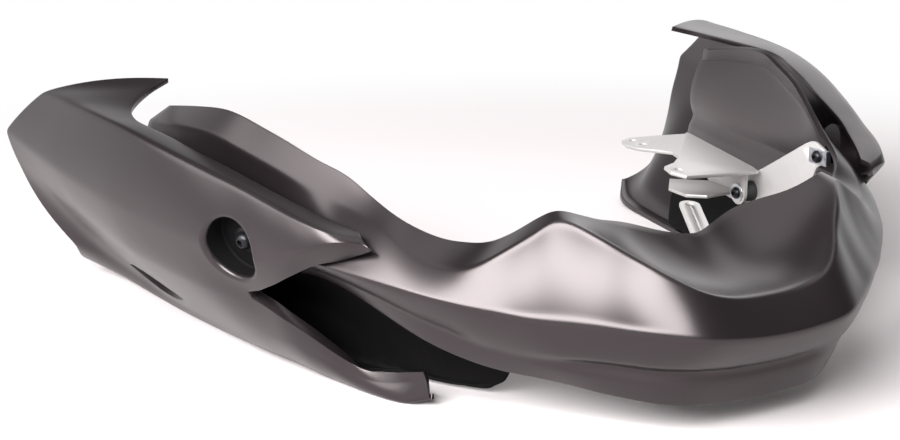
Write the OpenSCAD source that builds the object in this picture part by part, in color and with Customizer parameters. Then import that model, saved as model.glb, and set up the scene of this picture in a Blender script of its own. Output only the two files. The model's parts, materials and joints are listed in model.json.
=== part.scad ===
// Belly pan for a motorcycle: a U-shaped nose moulding with a flared side wing on each leg,
// dark liners behind the side outlets, and sheet-metal brackets with their screws and bushes.
// Frame: X across, Y rearward, Z up. The origin is under the middle of the part, on the ground.

/* [Overall size] */
// Width over both side wings
pan_w = 520; // [460:1:580]
// Length from the nose to the wing tails
pan_l = 464; // [420:1:520]
// Height of the arms above the ground
pan_h = 143; // [130:1:160]

/* [Mouldings] */
// Wall of the nose moulding
shell_t = 3; // [2.4:0.1:4]
// Wall of the side wings
wing_t = 3; // [2.4:0.1:4]
// Depth of the folded edge round each outlet
outlet_fold = 7; // [5:0.5:9]
// Wall of the outlet liners
liner_t = 2; // [1.6:0.1:2.6]
// Width of the rolled-in lip under each wing
wing_lip_w = 9; // [8:0.5:12]
// Hollow of the deck behind the nose ridge, as a share of the deck's depth
deck_hollow_share = 0.11; // [0.04:0.01:0.16]

/* [Bolt well in each wing] */
// Inside diameter of the well
well_d = 36; // [30:1:40]
// Depth of the well along its own axis
well_depth = 16; // [12:0.5:18]
// Wall of the well
well_t = 2.5; // [2:0.1:3]
// Place of the well along the wing, counted in stations of the wing tables
well_station_share = 7.2; // [7.05:0.05:7.3]

/* [Slit vent in each wing] */
// Length of the slit
slit_l = 80; // [72:1:90]
// Width of the slit at its middle
slit_w = 11; // [9:0.5:14]
// Place of the slit along the wing, counted in stations of the wing tables
slit_station_share = 2.65; // [2.5:0.05:2.8]

/* [Brackets] */
// Thickness of the bracket sheet
sheet_t = 2; // [1.5:0.1:3]
// Width of the side bracket's foot
foot_w = 34; // [26:1:40]
// Height that the engine bracket gains towards the middle
engine_rise = 9.6; // [7:0.1:12]
// Spacing of the two holes in the engine bracket's tab
tab_hole_pitch = 12; // [11:0.5:16]
// Diameter of the two holes in the engine bracket's tab
tab_hole_d = 5.3; // [4.5:0.1:6.2]
// Diameter of the hole in the engine bracket's lug
lug_hole_d = 5.3; // [4.5:0.1:6.2]
// Width of the front straps
strap_w = 12; // [10:0.5:16]
// Length of the front straps
strap_l = 66; // [60:1:74]
// Diameter of the holes in the front straps
strap_hole_d = 5.3; // [4.5:0.1:6]

/* [Screws and bushes] */
// Thread diameter of the small screws
screw_d = 4; // [3:0.5:5]
// Head diameter of the small screws
screw_head_d = 7.6; // [6.5:0.1:9.5]
// Head height of the small screws
screw_head_h = 2.4; // [1.8:0.1:3]
// Socket across its flats
socket_w = 2.5; // [2:0.1:3]
// Thread diameter of the wing bolts
bolt_d = 6; // [5:0.5:6]
// Head diameter of the wing bolts
bolt_head_d = 10.5; // [9:0.1:12]
// Head height of the wing bolts
bolt_head_h = 4; // [3:0.1:5]
// Outside diameter of the rubber bushes
bush_d = 13; // [11:0.5:15]
// Length of the rubber bushes
bush_l = 9; // [7:0.5:11]
// Outside diameter of the washers
washer_d = 12; // [11:0.5:14]
// Thickness of the washers
washer_t = 1; // [0.8:0.1:1.5]

/* [Hidden] */

// Clearance between pieces that touch
fit_gap = 0.3;
// Clearance of a screw in its hole, on the diameter
screw_gap = 0.5;
// How far a cut runs past the surface that it opens
overrun = 1;
// Facets of round holes and of small round pieces
hole_fn = 24;

// The outline tables give places in parts of the half width, of the length and of the height.
// The middle of the length lies this many parts behind the origin of the tables.
table_parts_share = [240, 428.3, 132];
middle_share = 78;

function scaled(p) = [
    p.x * pan_w / 2 / table_parts_share.x,
    (p.y - middle_share) * pan_l / table_parts_share.y,
    p.z * pan_h / table_parts_share.z];

// Rows of the right wing, from its tail to its front, each a line along the moulding
wing_inner_edge_shares = [[171, 207, 132], [186, 199, 128], [202, 182, 123.5], [208, 163, 121.5],
    [207, 144, 120.5], [202, 126, 118], [196, 104, 114], [189, 84, 110], [183, 64, 106],
    [177, 45, 102], [170, 29, 98], [163, 14, 94.5], [155.5, 0, 91]];
wing_top_crease_shares = [[230, 245, 124], [229, 226, 124.5], [228, 205, 124], [226, 180, 123.5],
    [222, 150, 122], [217, 124, 119], [210, 99, 115], [202, 76, 110.5], [195, 57, 106.5],
    [187, 36, 101], [180, 17, 96.5], [171, 2, 92.5], [157, -5, 89.5]];
wing_side_crease_shares = [[240, 291, 93], [237.5, 262, 89], [235, 230, 85.5], [231, 195, 82],
    [226, 158, 79], [219, 124, 77], [211, 92, 74.5], [203, 66, 73], [193, 44, 71],
    [187, 26, 76], [180, 10, 82.5], [169.5, -3, 88], [156.5, -8, 87.5]];
wing_outlet_top_shares = [[236.5, 292, 73], [233, 262, 68], [229.5, 230, 64], [224.5, 195, 61],
    [219, 158, 58], [212, 124, 55.5], [202, 93, 52], [187, 65, 48.5], [184, 45, 55.5],
    [181, 28, 64.5], [173, 14, 73], [163, 3, 77], [155, -11, 84]];
wing_outlet_low_shares = [[234.5, 291.5, 67], [230.5, 262, 62], [227, 230, 58], [222, 195, 55],
    [216.5, 158, 52], [209.5, 124, 49.5], [199, 93, 46], [184, 64.5, 43], [176, 50, 37],
    [167, 40, 30], [152, 26, 17.5], [142, 13, 13], [127, -12, 18]];
wing_low_crease_shares = [[206, 275, 22], [186, 256, 15], [178.5, 229, 12], [176, 193, 11.5],
    [174, 157, 13], [172, 123, 16], [172, 91, 21], [171, 66, 27], [168.5, 52, 27],
    [162, 41, 21], [150.5, 25, 12.5], [140.5, 7, 9], [126, -13.5, 14]];
wing_ground_edge_shares = [[195, 291, 8.5], [186.5, 266, 2.5], [182, 230, 0.6], [178, 193, 0],
    [173, 156, 0], [166.5, 122, 0], [160, 90, 0], [156, 70, 0], [153, 52, 0],
    [149, 34, 0], [143.5, 14, 0], [135, -5, 0.6], [125, -15, 4]];

// Rows of the right half of the nose moulding, from the rear of its leg to the middle plane
nose_inner_edge_shares = [[180, 183, 122], [179, 149, 128], [174, 115, 132], [168, 92, 128],
    [162, 69, 123], [155, 50, 117], [147, 32, 112], [141, 14, 103.5], [134.5, -5, 95.5],
    [122, -18, 88.5], [112, -28, 87], [103, -36, 88], [95, -45, 94], [86, -53, 102],
    [79, -59, 106], [67, -61, 102.5], [56, -59, 98.5], [44, -54, 95], [31, -50, 91],
    [15, -54, 86], [0, -60, 84]];
nose_ridge_shares = [[188, 195, 112], [187.5, 155, 117], [183, 121, 119], [176, 95, 114.5],
    [168, 68, 109], [161, 49, 104], [154, 30, 99], [148, 12, 95], [143, -6, 90],
    [136, -24, 81], [127, -38, 78.5], [119, -48, 81], [108, -56, 88.5], [95, -62, 96.5],
    [83, -67, 103.5], [72, -83, 98.5], [60, -96, 90.5], [50, -108, 84], [36, -119.5, 76],
    [18, -121, 71], [0, -121, 70]];
nose_low_crease_shares = [[203, 222, 70], [194, 186, 71], [187, 142, 72], [181, 100, 72.5],
    [177, 68, 72.5], [174, 40, 72.5], [169.5, 16, 72.5], [162, -3, 71], [154, -17, 69],
    [145, -31, 67], [136, -44, 65], [126, -56, 63], [116, -67, 62], [106, -78, 61],
    [95, -88, 61], [83, -100, 60.5], [70, -111.5, 59], [57, -122.5, 57.5], [41, -133.5, 56],
    [20, -136, 54], [0, -136, 53]];
nose_groove_shares = [[205, 229, 60], [195, 192, 61], [187.5, 146, 62], [180.5, 105, 63],
    [175.5, 74, 65], [172, 48, 66], [167, 25, 67], [159, 7, 64], [148, -9.5, 58],
    [137.5, -22, 51.5], [126, -34.5, 46], [116, -46.5, 41], [106.5, -57.5, 38.5], [97.5, -69, 37],
    [89, -80, 36.5], [78, -90, 36], [66, -99.5, 35], [55, -108.5, 34], [39, -116.5, 33.5],
    [19, -118, 32], [0, -118, 31.5]];
nose_ground_edge_shares = [[207, 236, 48], [196, 197, 50], [187, 150, 52], [179.5, 110, 54],
    [173, 80, 57], [169, 54, 59.5], [163, 32, 61.5], [155, 13, 57.5], [145.5, -2, 49.5],
    [136.5, -14, 42], [127, -26, 35.5], [114, -40, 29.5], [103, -52, 26.5], [92, -64, 25],
    [81, -75, 23], [71, -84.5, 20.5], [60.5, -94, 18.5], [50, -103, 17], [36, -110, 15.5],
    [18, -112, 14.5], [0, -112.5, 14]];

// Rows of the right outlet liner: its bottom corner and its top edge. It starts on the wing's
// lip, at the first stations given here, and then leaves it for the points after them.
liner_lip_shares = [3, 4.25, 5.1, 6.2, 8];
liner_start_shares = [[119, 33, 2.6], [103, 5, 2.3], [89, -12.5, 3.5]];
liner_corner_shares = [[162, 194, 5], [158, 148, 4], [149, 118, 4], [138, 86, 4], [124, 52, 3],
    [107, 25, 2], [98.5, 2, 2], [84, -20, 9]];
liner_top_shares = [[168, 196, 34], [178, 150, 48], [171, 114, 54], [163, 84, 57], [154, 56, 58],
    [142, 24, 55], [120, 2, 43], [84, -27, 18]];

// Place of the side bracket's sheet, and its outline seen from the side
bracket_share = 136.3;
side_bracket_shares = [[21, 99], [13, 98], [7.5, 95], [8.5, 89], [15, 85], [19, 77], [26, 68.5],
    [39, 61.5], [61, 54.5], [82, 50], [98, 50.5], [112, 54], [117, 57.5], [112, 60], [94, 64.5],
    [74, 69.5], [66, 73], [53, 80.5], [37, 90]];
bracket_screw_shares = [14, 91.8];
bush_shares = [73, 59];
// Outline of the side bracket's foot, seen from above, and the height of the foot
foot_shares = [[141, 88], [141, 113], [127, 130], [117, 112], [117, 94], [124, 86]];
foot_height_share = 54;
// Outlines of the engine bracket's web and of its level tab, seen from above. They run into each
// other at the bend, which lies between the first two points of the tab.
engine_web_shares = [[134.5, 71], [132, 132.8], [130, 134.2], [91.3, 85.4], [80, 74], [69, 67], [67, 57],
    [73, 50.5], [133, 63]];
engine_tab_shares = [[92.8, 84], [131.5, 132.8], [112, 137.5], [95, 140.5], [87, 136],
    [83.5, 126], [84.5, 116], [90, 108], [97, 98]];
engine_hinge_shares = [138, 68, 71.3];
tab_hole_shares = [93, 127.5];
lug_hole_shares = [75.5, 62];
// Places of the two holes in the right front strap, seen from above, and its height
strap_seat_shares = [9.9, -59.3];
strap_height_share = 75;
strap_tilt = 7;

// Bulge of each band between two rows, as a share of the band's own width
wing_bulge_shares = [0.02, 0.03, 0.02, 0, 0.01, 0.05];
tail_bulge_share = 0.13;
nose_bulge_shares = [0, 0.03, 0.05, 0.02];
// Cells across each band
wing_cells = [2, 4, 2, 1, 3, 2];
nose_cells = [3, 4, 2, 2];
// Cells along each span between two stations
wing_span_cells = 3;
nose_span_cells = 2;
// The outlet is the fourth band of the wing, open from this station to the front
outlet_station = 7;

// Point at parameter u of a smooth curve through the points p
function curve_point(p, u) =
    let (last = len(p) - 1,
        i = min(floor(u), last - 1),
        s = u - i,
        b = p[i],
        c = p[i + 1],
        a = i > 0 ? p[i - 1] : 2 * b - c,
        d = i + 2 <= last ? p[i + 2] : 2 * c - b)
    b + (c - a) * s / 2 + (2 * a - 5 * b + 4 * c - d) * s * s / 2
        + (3 * b - a - 3 * c + d) * s * s * s / 2;

function curve(p, cells) = [for (k = [0:cells * (len(p) - 1)]) curve_point(p, k / cells)];
function mix(a, b, s) = a + (b - a) * s;
function unit(v) = v / norm(v);
function above_ground(p) = [p.x, p.y, max(p.z, 0)];
function scaled_row(row) = [for (p = row) scaled(p)];
// A row of the whole nose, from the right leg round to the left leg
function both_sides(row) =
    concat(row, [for (k = [len(row) - 2:-1:0]) [-row[k].x, row[k].y, row[k].z]]);
function along(row, i) = row[min(i + 1, len(row) - 1)] - row[max(i - 1, 0)];

// One point of the band between rows a and b, at station i and share s of the band's width
function band_point(a, b, i, s, bulge) =
    let (chord = b[i] - a[i],
        outward = unit(cross(mix(along(a, i), along(b, i), s), chord)))
    a[i] + chord * s + outward * norm(chord) * bulge * 4 * s * (1 - s);

// Columns of points, one column for each station, from the first row to the last
function skin_grid(rows, cells, bulges) = [
    for (i = [0:len(rows[0]) - 1])
        concat(
            [for (r = [0:len(rows) - 2]) for (k = [0:cells[r] - 1])
                above_ground(band_point(rows[r], rows[r + 1], i, k / cells[r],
                    is_list(bulges[r]) ? bulges[r][i] : bulges[r]))],
            [above_ground(rows[len(rows) - 1][i])])];

// Whether cell (i, j) of a skin with its gap after column g, from station o, is left open
function is_open(i, j, g, o) = j == g && i >= o;
function before(i, j, g, o) = (j == g + 1 && i >= o) ? j : max(j - 1, 0);
function after(i, j, g, o, last) = (j == g && i >= o) ? j : min(j + 1, last);

function normal_at(grid, i, j, g, o) =
    let (last_i = len(grid) - 1, last_j = len(grid[0]) - 1)
    unit(cross(grid[min(i + 1, last_i)][j] - grid[max(i - 1, 0)][j],
        grid[i][after(i, j, g, o, last_j)] - grid[i][before(i, j, g, o)]));

// The same grid, moved along its normals by the distance t, or along its gap by the folds there
function moved_grid(grid, t, g = -2, o = 0, folds = []) = [
    for (i = [0:len(grid) - 1]) [
        for (j = [0:len(grid[0]) - 1])
            let (move = i >= o && (j == g || j == g + 1) ? folds[i] : t)
            grid[i][j] + normal_at(grid, i, j, g, o) * move]];

function wall_quad(a, b, n) = [[a, b, b + n], [a, b + n, a + n]];

// A closed shell between an outer grid and an inner one, open at the cells of its gap
module shell_between(outer, inner, g = -2, o = 0) {
    ni = len(outer) - 1;
    nj = len(outer[0]) - 1;
    row_len = nj + 1;
    n = (ni + 1) * row_len;
    points = concat([for (c = outer) each c], [for (c = inner) each c]);
    faces = [for (i = [0:ni - 1]) for (j = [0:nj - 1]) if (!is_open(i, j, g, o))
        let (a = i * row_len + j, b = a + row_len, c = b + 1, d = a + 1)
        each concat(
            [[a, d, c], [a, c, b], [a + n, b + n, c + n], [a + n, c + n, d + n]],
            j == 0 || is_open(i, j - 1, g, o) ? wall_quad(a, b, n) : [],
            i == ni - 1 || is_open(i + 1, j, g, o) ? wall_quad(b, c, n) : [],
            j == nj - 1 || is_open(i, j + 1, g, o) ? wall_quad(c, d, n) : [],
            i == 0 || is_open(i - 1, j, g, o) ? wall_quad(d, a, n) : [])];
    polyhedron(points, faces, convexity = 10);
}

// Grid of the right wing, with the lip that turns in under its ground edge and ends narrower
lip_width_shares = [0.5, 1, 1, 1, 1, 1, 1, 1, 1, 1, 0.9, 0.6, 0.35];
wing_lip_row = [for (k = [0:len(wing_ground_edge_shares) - 1])
    scaled(wing_ground_edge_shares[k]) - [wing_lip_w * lip_width_shares[k], 0, 0]];
wing_rows = [for (row = [wing_inner_edge_shares, wing_top_crease_shares, wing_side_crease_shares,
    wing_outlet_top_shares, wing_outlet_low_shares, wing_low_crease_shares,
    wing_ground_edge_shares]) curve(scaled_row(row), wing_span_cells)];
// The lower face is flat, and rounds out only over the last two stations before the tail
wing_stations = len(wing_rows[0]);
lower_bulges = [for (i = [0:wing_stations - 1])
    let (tail = max(0, 1 - i / wing_span_cells))
    mix(wing_bulge_shares[4], tail_bulge_share, tail * tail)];
wing_bulges = [for (r = [0:len(wing_bulge_shares) - 1]) r == 4 ? lower_bulges : wing_bulge_shares[r]];
wing_grid = skin_grid(concat(wing_rows, [curve(wing_lip_row, wing_span_cells)]),
    concat(wing_cells, [1]), concat(wing_bulges, [0]));
side_column = wing_cells[0] + wing_cells[1];
outlet_column = side_column + wing_cells[2];
low_column = outlet_column + wing_cells[3] + wing_cells[4];
ground_column = low_column + wing_cells[5];
outlet_from = outlet_station * wing_span_cells;
// The fold round the outlet runs out over the last two stations
fold_end_cells = 2 * wing_span_cells;
outlet_folds = [for (i = [0:wing_stations - 1])
    -mix(wing_t, outlet_fold, min(1, (wing_stations - 1 - i) / fold_end_cells))];
wing_inside = moved_grid(wing_grid, -wing_t, outlet_column, outlet_from, outlet_folds);

// Grid of the whole nose moulding
nose_rows = [for (row = [nose_inner_edge_shares, nose_ridge_shares, nose_low_crease_shares,
    nose_groove_shares, nose_ground_edge_shares])
    curve(both_sides(scaled_row(row)), nose_span_cells)];
peak_station = 14;
nose_stations = len(nose_rows[0]);
// The deck is hollow between the two peaks and flat on the legs
deck_bulges = [for (i = [0:nose_stations - 1])
    let (from_leg = min(i, nose_stations - 1 - i) / nose_span_cells)
    -deck_hollow_share * max(0, min(1, (from_leg - peak_station) / 3))];
nose_grid = skin_grid(nose_rows, nose_cells, concat([deck_bulges], [for (k = [1:3]) nose_bulge_shares[k]]));
nose_inside = moved_grid(nose_grid, -shell_t);

// Puts a piece that is drawn along +Z on the point p, along the direction n
module aimed(p, n) {
    translate(p) rotate([0, acos(n.z / norm(n)), atan2(n.y, n.x)]) children();
}

module on_left() {
    mirror([1, 0, 0]) children();
}

// Axis of the bolt well: out of the wing, square to its skin, a little below the side crease
well_drop_share = 0.06;
well_i = floor(well_station_share * wing_span_cells);
well_p = mix(curve_point(scaled_row(wing_side_crease_shares), well_station_share),
    curve_point(scaled_row(wing_outlet_top_shares), well_station_share), well_drop_share);
well_n = normal_at(wing_grid, well_i, side_column, outlet_column, outlet_from);
well_floor = well_p - well_n * well_depth;

// Block of the wing round the well, which trims the well flush with the skin
well_reach_cells = 5;
well_block_from = well_i - well_reach_cells;
well_block = [for (i = [well_block_from:well_block_from + 2 * well_reach_cells])
    [for (j = [wing_cells[0] + 1:outlet_column + 1]) wing_grid[i][j]]];

module bolt_well() {
    r = well_d / 2 + well_t;
    intersection() {
        aimed(well_floor - well_n * well_t, well_n)
            cylinder(h = 2 * well_depth, r = r, $fn = hole_fn);
        shell_between(well_block, [for (c = well_block) [for (p = c) p - well_n * 2 * well_depth]]);
    }
}

// Axis of the slit: square to the wing's lower face, a share of that face above its low crease
slit_rise_share = 0.12;
slit_i = round(slit_station_share * wing_span_cells);
slit_p = mix(wing_rows[5][slit_i], wing_rows[4][slit_i], slit_rise_share);
slit_n = unit(cross(along(wing_rows[5], slit_i), wing_rows[5][slit_i] - wing_rows[4][slit_i]));
slit_along = unit(along(wing_rows[5], slit_i));

// A leaf: the meeting of two round discs
module leaf(l, w) {
    r = (l * l + w * w) / (4 * w);
    intersection() {
        translate([0, r - w / 2]) circle(r = r, $fn = 4 * hole_fn);
        translate([0, w / 2 - r]) circle(r = r, $fn = 4 * hole_fn);
    }
}

module slit_cutter() {
    x_axis = slit_along;
    z_axis = slit_n;
    y_axis = cross(z_axis, x_axis);
    multmatrix([[x_axis.x, y_axis.x, z_axis.x, slit_p.x], [x_axis.y, y_axis.y, z_axis.y, slit_p.y],
        [x_axis.z, y_axis.z, z_axis.z, slit_p.z], [0, 0, 0, 1]])
        linear_extrude(height = 4 * slit_w, center = true) leaf(slit_l, slit_w);
}

module wing() {
    difference() {
        union() {
            shell_between(wing_grid, wing_inside, outlet_column, outlet_from);
            bolt_well();
        }
        aimed(well_floor, well_n) cylinder(h = 2 * well_depth, d = well_d, $fn = hole_fn);
        aimed(well_floor - well_n * (well_t + overrun), well_n)
            cylinder(h = well_t + 2 * overrun, d = bolt_d + screw_gap, $fn = hole_fn);
        slit_cutter();
    }
}

module right_wing() {
    color("#4b454b") wing();
}

module left_wing() {
    color("#4b454b") on_left() wing();
}

module nose_moulding() {
    color("#4f484e") shell_between(nose_grid, nose_inside);
}

// The liner lies on the wing's lip, runs in under the leg and turns up behind it
liner_rows = [
    concat(
        [for (k = liner_lip_shares) let (p = curve_point(scaled_row(wing_ground_edge_shares), k))
            [p.x - wing_lip_w * 0.6, p.y, p.z + wing_t + 2 * fit_gap]],
        scaled_row(liner_start_shares)),
    scaled_row(liner_corner_shares),
    scaled_row(liner_top_shares)];
liner_cells = [2, 2];
liner_grid = skin_grid([for (row = liner_rows) curve(row, wing_span_cells)], liner_cells, [0, 0.06]);
liner_inside = moved_grid(liner_grid, -liner_t);

module outlet_liner() {
    shell_between(liner_grid, liner_inside);
}

module right_outlet_liner() {
    color("#1d1b1d") outlet_liner();
}

module left_outlet_liner() {
    color("#1d1b1d") on_left() outlet_liner();
}

// The four corners of the cell (i, j) of a grid, moved off the surface by the distance t
function cell_corners(grid, i, j, t, wide = 1) = [for (a = [0, wide]) for (b = [0, 1])
    grid[i + a][j + b] + normal_at(grid, i + a, j + b, -2, 0) * t];

// Fills the hull of loose points
module hull_of(points) {
    hull() for (p = points) translate(p) cube(fit_gap / 10, center = true);
}

// A block bonded between the wing's cell and the leg's cell that faces it
module bonding_block(wing_cell, nose_cell) {
    hull_of(concat(
        cell_corners(wing_inside, wing_cell.x, wing_cell.y, -fit_gap),
        cell_corners(nose_grid, nose_cell.x, nose_cell.y, 2 * fit_gap)));
}

rear_block_wing_cell = [4 * wing_span_cells, wing_cells[0] + 3];
rear_block_nose_cell = [3, nose_cells[0] + 3];
front_block_wing_cell = [5.5 * wing_span_cells - 0.5, wing_cells[0] + 3];
front_block_nose_cell = [5, nose_cells[0] + 3];

module bonding_blocks() {
    bonding_block(rear_block_wing_cell, rear_block_nose_cell);
    bonding_block(front_block_wing_cell, front_block_nose_cell);
}

module right_bonding_blocks() {
    color("#2a282a") bonding_blocks();
}

module left_bonding_blocks() {
    color("#2a282a") on_left() bonding_blocks();
}

// Pad bonded on the leg behind the bolt well, with a blind bore for the wing bolt
pad_nose_cell = [7, nose_cells[0] + nose_cells[1] - 1];
bolt_reach = 5;
bolt_pad_face = well_floor - well_n * (well_t + fit_gap);
bolt_pad_face_d = 16;
pad_plate_t = 2;

module bolt_pad() {
    difference() {
        hull() {
            hull_of(cell_corners(nose_grid, pad_nose_cell.x, pad_nose_cell.y, 2 * fit_gap));
            aimed(bolt_pad_face - well_n * pad_plate_t, well_n)
                cylinder(h = pad_plate_t, d = bolt_pad_face_d, $fn = hole_fn / 2);
        }
        aimed(bolt_pad_face - well_n * bolt_reach, well_n)
            cylinder(h = bolt_reach + overrun, d = bolt_d + screw_gap, $fn = hole_fn);
    }
}

module right_bolt_pad() {
    color("#2a282a") bolt_pad();
}

module left_bolt_pad() {
    color("#2a282a") on_left() bolt_pad();
}

// A washer that stands on the origin
module washer(outer_d, inner_d, t) {
    difference() {
        cylinder(h = t, d = outer_d, $fn = hole_fn);
        translate([0, 0, -overrun]) cylinder(h = t + 2 * overrun, d = inner_d, $fn = hole_fn);
    }
}

// A button-head screw: its head stands on the origin and its shank runs down from it
module button_screw(d, head_d, head_h, socket, length) {
    edge_h = head_h / 4;
    difference() {
        union() {
            rotate_extrude($fn = hole_fn)
                polygon([[0, -length], [d / 2, -length], [d / 2, 0], [head_d / 2, 0],
                    [head_d / 2, edge_h], [head_d * 0.42, head_h * 0.68], [head_d * 0.28, head_h],
                    [0, head_h]]);
        }
        translate([0, 0, head_h / 3]) cylinder(h = head_h, d = socket / cos(30), $fn = 6);
    }
}

module both_hands() {
    children();
    on_left() children();
}

module wing_bolts() {
    color("#1c1c1f") both_hands()
        aimed(well_floor + well_n * washer_t, well_n)
            button_screw(bolt_d, bolt_head_d, bolt_head_h, bolt_d * 0.65,
                washer_t + well_t + fit_gap + bolt_reach - overrun);
}

module wing_bolt_washers() {
    color("#2b2b2e") both_hands()
        aimed(well_floor, well_n) washer(bolt_head_d * 1.5, bolt_d + screw_gap, washer_t);
}

// Distance of the side bracket's sheet from the middle plane
bracket_x = scaled([bracket_share, 0, 0]).x;

function side_place(s) = [
    bracket_x,
    (s.x - middle_share) * pan_l / table_parts_share.y,
    s.y * pan_h / table_parts_share.z];
bracket_screw_p = side_place(bracket_screw_shares);
bush_p = side_place(bush_shares);

// A closed outline with rounded corners through the given points
function closed_curve(p, cells) =
    let (n = len(p))
    [for (k = [0:n - 1]) for (c = [0:cells - 1])
        let (four = [p[(k + n - 1) % n], p[k], p[(k + 1) % n], p[(k + 2) % n]], s = c / cells)
        four[1] + (four[2] - four[0]) * s / 2
            + (2 * four[0] - 5 * four[1] + 4 * four[2] - four[3]) * s * s / 2
            + (3 * four[1] - four[0] - 3 * four[2] + four[3]) * s * s * s / 2];

// Turns a flat sketch so that it stands across X, with its first axis to the rear
module standing() {
    rotate([90, 0, 90]) children();
}

module side_bracket() {
    outline = [for (s = side_bracket_shares) let (p = side_place(s)) [p.y, p.z]];
    foot = [for (s = foot_shares) let (p = scaled([s.x, s.y, foot_height_share])) [
        s.x == foot_shares[0].x ? bracket_x + sheet_t : bracket_x - foot_w * (foot_shares[0].x - s.x)
            / (foot_shares[0].x - foot_shares[3].x), p.y]];
    foot_z = scaled([0, 0, foot_height_share]).z;
    difference() {
        union() {
            translate([bracket_x, 0, 0]) standing()
                linear_extrude(height = sheet_t) polygon(closed_curve(outline, 3));
            translate([0, 0, foot_z]) linear_extrude(height = sheet_t) polygon(foot);
        }
        for (p = [bracket_screw_p, bush_p])
            translate([bracket_x - overrun, p.y, p.z]) rotate([0, 90, 0])
                cylinder(h = sheet_t + 2 * overrun, d = screw_d + screw_gap, $fn = hole_fn);
    }
}

module right_side_bracket() {
    color("#e4e4e8") side_bracket();
}

module left_side_bracket() {
    color("#e4e4e8") on_left() side_bracket();
}

// Clip nut folded round the front edge of the side bracket
clip_t = 0.8;
clip_w = 9;
clip_front_share = 6;
clip_rear_share = 21;
clip_gap = 0.1;

module clip_nut() {
    y0 = side_place([clip_front_share, 0]).y;
    y1 = side_place([clip_rear_share, 0]).y;
    z = bracket_screw_p.z;
    inner = sheet_t + 2 * clip_gap;
    difference() {
        translate([bracket_x - clip_gap - clip_t, y0, z - clip_w / 2])
            cube([inner + 2 * clip_t, y1 - y0, clip_w]);
        translate([bracket_x - clip_gap, y0 + clip_t, z - clip_w])
            cube([inner, y1 - y0, 2 * clip_w]);
        translate([bracket_x - clip_w, bracket_screw_p.y, z]) rotate([0, 90, 0])
            cylinder(h = 2 * clip_w, d = screw_d + screw_gap, $fn = hole_fn);
    }
}

module clip_nuts() {
    color("#cfcfd4") both_hands() clip_nut();
}

// Pad bonded inside each leg, which takes the bracket screw
bracket_pad_x = bracket_x + sheet_t + clip_gap + clip_t;
bracket_pad_cell = [13, nose_cells[0]];
bracket_pad_plate_t = 1;
bracket_reach = 2.5;

module bracket_pad() {
    difference() {
        hull() {
            hull_of(cell_corners(nose_inside, bracket_pad_cell.x, bracket_pad_cell.y, -fit_gap));
            translate([bracket_pad_x + fit_gap / 3, bracket_screw_p.y, bracket_screw_p.z])
                rotate([0, 90, 0])
                cylinder(h = bracket_pad_plate_t, d = clip_w, $fn = hole_fn / 2);
        }
        translate([bracket_pad_x - overrun, bracket_screw_p.y, bracket_screw_p.z]) rotate([0, 90, 0])
            cylinder(h = bracket_reach + overrun, d = screw_d + screw_gap, $fn = hole_fn);
    }
}

module right_bracket_pad() {
    color("#2a282a") bracket_pad();
}

module left_bracket_pad() {
    color("#2a282a") on_left() bracket_pad();
}

module bracket_screws() {
    length = bracket_pad_x + bracket_reach - fit_gap - (bracket_x - clip_gap - clip_t);
    color("#1c1c1f") both_hands()
        translate([bracket_x - clip_gap - clip_t, bracket_screw_p.y, bracket_screw_p.z])
            rotate([0, -90, 0]) button_screw(screw_d, screw_head_d, screw_head_h, socket_w, length);
}

// Bush set: rubber bush on a metal sleeve, held by a screw with washers and a nut
sleeve_t = 1;
nut_w = 7;
nut_h = 3.2;
bush_bore = screw_d + screw_gap + 2 * sleeve_t + fit_gap;

// Places a piece drawn along +Z so that it runs inwards from the side bracket's inner face
module at_bush(distance) {
    translate([bracket_x - distance, bush_p.y, bush_p.z]) rotate([0, -90, 0]) children();
}

module rubber_bushes() {
    color("#202022") both_hands() at_bush(0) washer(bush_d, bush_bore, bush_l);
}

module bush_sleeves() {
    color("#c9c9ce") both_hands()
        at_bush(0) washer(bush_bore - fit_gap, screw_d + screw_gap, bush_l);
}

// The right bush carries the engine bracket's ear, the left one only its washer
module bush_washers() {
    color("#e4e4e8") {
        at_bush(bush_l + sheet_t) washer(washer_d, screw_d + screw_gap, washer_t);
        on_left() at_bush(bush_l) washer(washer_d, screw_d + screw_gap, washer_t);
    }
}

module bush_screws() {
    tail = sheet_t + nut_h;
    color("#1c1c1f") {
        at_bush(bush_l + sheet_t + washer_t)
            button_screw(screw_d, screw_head_d, screw_head_h, socket_w,
                washer_t + sheet_t + bush_l + tail);
        on_left() at_bush(bush_l + washer_t)
            button_screw(screw_d, screw_head_d, screw_head_h, socket_w, washer_t + bush_l + tail);
    }
}

module bush_nuts() {
    color("#c9c9ce") both_hands() at_bush(-sheet_t - nut_h) difference() {
        cylinder(h = nut_h, d = nut_w / cos(30), $fn = 6);
        translate([0, 0, -overrun])
            cylinder(h = nut_h + 2 * overrun, d = screw_d + screw_gap, $fn = hole_fn);
    }
}

// Engine bracket: a tilted web with a lug, a level tab with two holes, and an ear down to the bush
ear_w = 15;
engine_fall_share = 0.122;

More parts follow.
